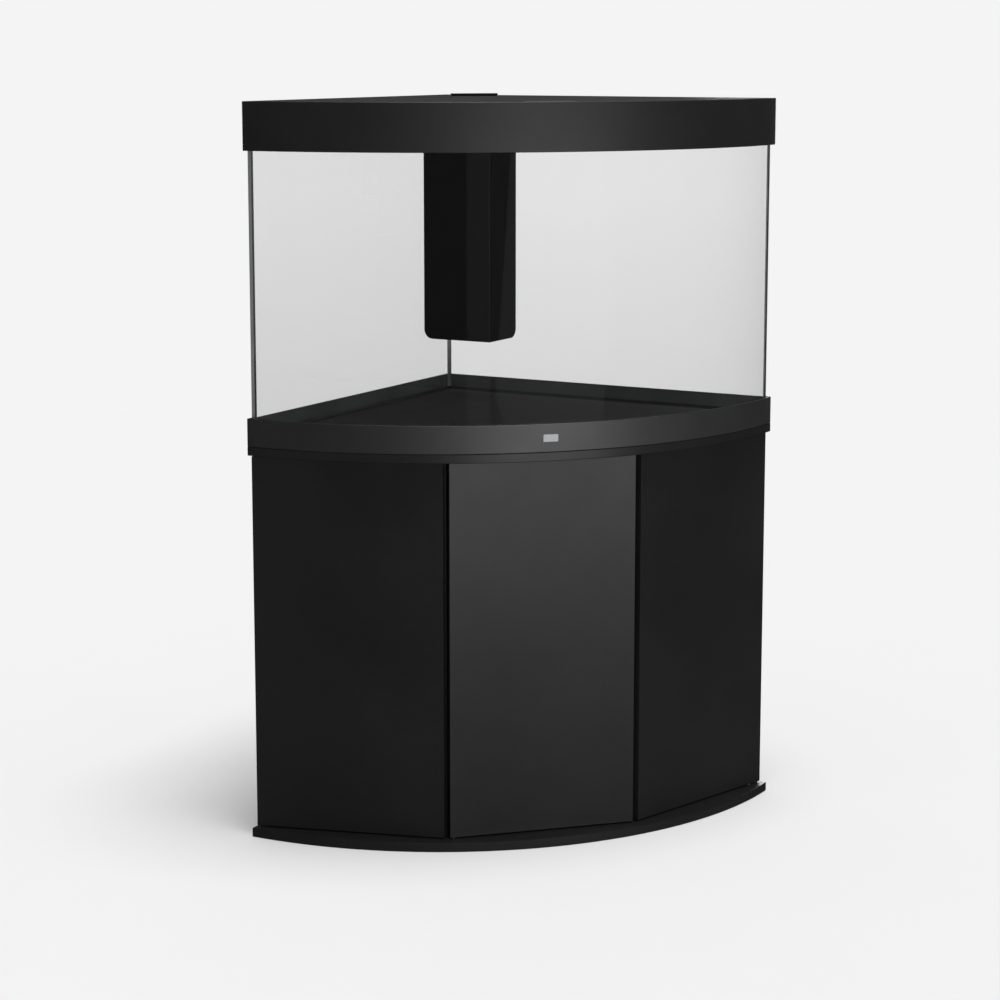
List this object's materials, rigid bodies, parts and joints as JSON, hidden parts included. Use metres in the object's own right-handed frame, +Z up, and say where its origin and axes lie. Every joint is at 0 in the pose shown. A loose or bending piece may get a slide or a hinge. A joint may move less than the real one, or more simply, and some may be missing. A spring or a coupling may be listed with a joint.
{
  "type": "corner aquarium on cabinet",
  "caption": "Quarter-circle corner aquarium with a deep black cover frame and hanging corner filter, on a black cabinet with flat hinged doors and a curved base.",
  "frame": {"origin": "at floor level, in the middle of the base board's outline", "axes": "+Z up, -Y towards the curved front, +X to the right as seen from the front; the back corner is on +Y"},
  "size_m": [0.9956, 0.7039, 1.32],
  "materials": {
    "black_board": "matt black melamine-faced board",
    "black_plastic": "satin black plastic",
    "filter_plastic": "smooth black plastic",
    "steel": "zinc-plated steel",
    "beech": "plain beech",
    "nylon": "white plastic",
    "clear_glass": "clear float glass, polished edges",
    "black_glass": "float glass, printed black on its underside",
    "black_silicone": "black silicone",
    "plaque_grey": "light grey, blank",
    "lamp_white": "frosted white lamp glass",
    "clear_plastic": "clear acrylic",
    "ceramic": "unglazed ceramic",
    "blue_foam": "coarse open foam",
    "white_floss": "matted fibre",
    "rotor_grey": "moulded plastic over a magnet",
    "heater_glass": "dark heater glass with a black cap",
    "dial_red": "moulded plastic"
  },
  "bodies": {
    "cabinet_and_tank": {"base_board": "black_board", "left_side_wall": "black_board", "right_side_wall": "black_board", "left_partition": "black_board", "right_partition": "black_board", "top_board": "black_board", "shelf": "black_board", "shelf_pins": "steel", "wood_dowels": "beech", "cam_locks": "steel", "cam_bolts": "steel", "pivot_bushes": "filter_plastic", "catch_magnets": "filter_plastic", "lower_frame": "black_plastic", "name_plaque": "plaque_grey", "floor_glass": "black_glass", "rear_left_glass": "clear_glass", "rear_right_glass": "clear_glass", "front_glass": "clear_glass", "floor_seal": "black_silicone", "rear_corner_seal": "black_silicone", "left_end_seal": "black_silicone", "right_end_seal": "black_silicone", "upper_frame": "black_plastic", "light_housing": "black_plastic", "control_gear": "nylon", "front_light_tube": "lamp_white", "rear_light_tube": "lamp_white", "tube_sockets": "filter_plastic", "splash_cover": "clear_plastic", "cable_gland": "filter_plastic", "flap_hinge_pins": "steel", "filter_housing": "filter_plastic", "filter_pads": "black_silicone", "lower_basket": "filter_plastic", "upper_basket": "filter_plastic", "ceramic_media": "ceramic", "filter_sponge": "blue_foam", "filter_floss": "white_floss", "pump_body": "black_plastic", "impeller_shaft": "ceramic", "outlet_pipe": "black_plastic", "heater_tube": "heater_glass", "heater_clips": "filter_plastic"},
    "left_door_leaf": {"left_door": "black_board", "left_door_pins": "steel", "left_strike_plate": "steel"},
    "middle_door_leaf": {"middle_door": "black_board", "middle_door_pins": "steel", "middle_strike_plate": "steel"},
    "right_door_leaf": {"right_door": "black_board", "right_door_pins": "steel", "right_strike_plate": "steel"},
    "front_cover": {"front_flap": "black_plastic"},
    "rear_cover": {"rear_flap": "black_plastic"},
    "pump_rotor": {"pump_impeller": "rotor_grey"},
    "outlet": {"outlet_nozzle": "black_plastic"},
    "dial": {"heater_dial": "dial_red"}
  },
  "joints": [
    {"name": "left_door_hinge", "type": "hinge", "parent": "cabinet_and_tank", "child": "left_door_leaf", "pos_m": [-0.4753, -0.13917, 0.356], "axis": [0, 0, -1], "range_deg": [0, 100]},
    {"name": "middle_door_hinge", "type": "hinge", "parent": "cabinet_and_tank", "child": "middle_door_leaf", "pos_m": [-0.16409, -0.30096, 0.356], "axis": [0, 0, -1], "range_deg": [0, 100]},
    {"name": "right_door_hinge", "type": "hinge", "parent": "cabinet_and_tank", "child": "right_door_leaf", "pos_m": [0.4753, -0.13917, 0.356], "axis": [0, 0, 1], "range_deg": [0, 100]},
    {"name": "front_flap_hinge", "type": "hinge", "parent": "cabinet_and_tank", "child": "front_cover", "pos_m": [0, -0.2075, 1.31], "axis": [-1, 0, 0], "range_deg": [0, 100]},
    {"name": "rear_flap_hinge", "type": "hinge", "parent": "cabinet_and_tank", "child": "rear_cover", "pos_m": [0, -0.0885, 1.31], "axis": [1, 0, 0], "range_deg": [0, 95]},
    {"name": "impeller_spin", "type": "hinge", "parent": "cabinet_and_tank", "child": "pump_rotor", "pos_m": [0.03571, 0.18831, 1.17], "axis": [0, 0, 1], "continuous": true},
    {"name": "nozzle_swivel", "type": "hinge", "parent": "cabinet_and_tank", "child": "outlet", "pos_m": [0.00919, 0.16179, 1.251], "axis": [-0.7071, -0.7071, 0], "range_deg": [-80, 80]},
    {"name": "dial_turn", "type": "hinge", "parent": "cabinet_and_tank", "child": "dial", "pos_m": [0.07248, 0.22507, 1.243], "axis": [0, 0, 1], "range_deg": [-120, 120]}
  ]
}
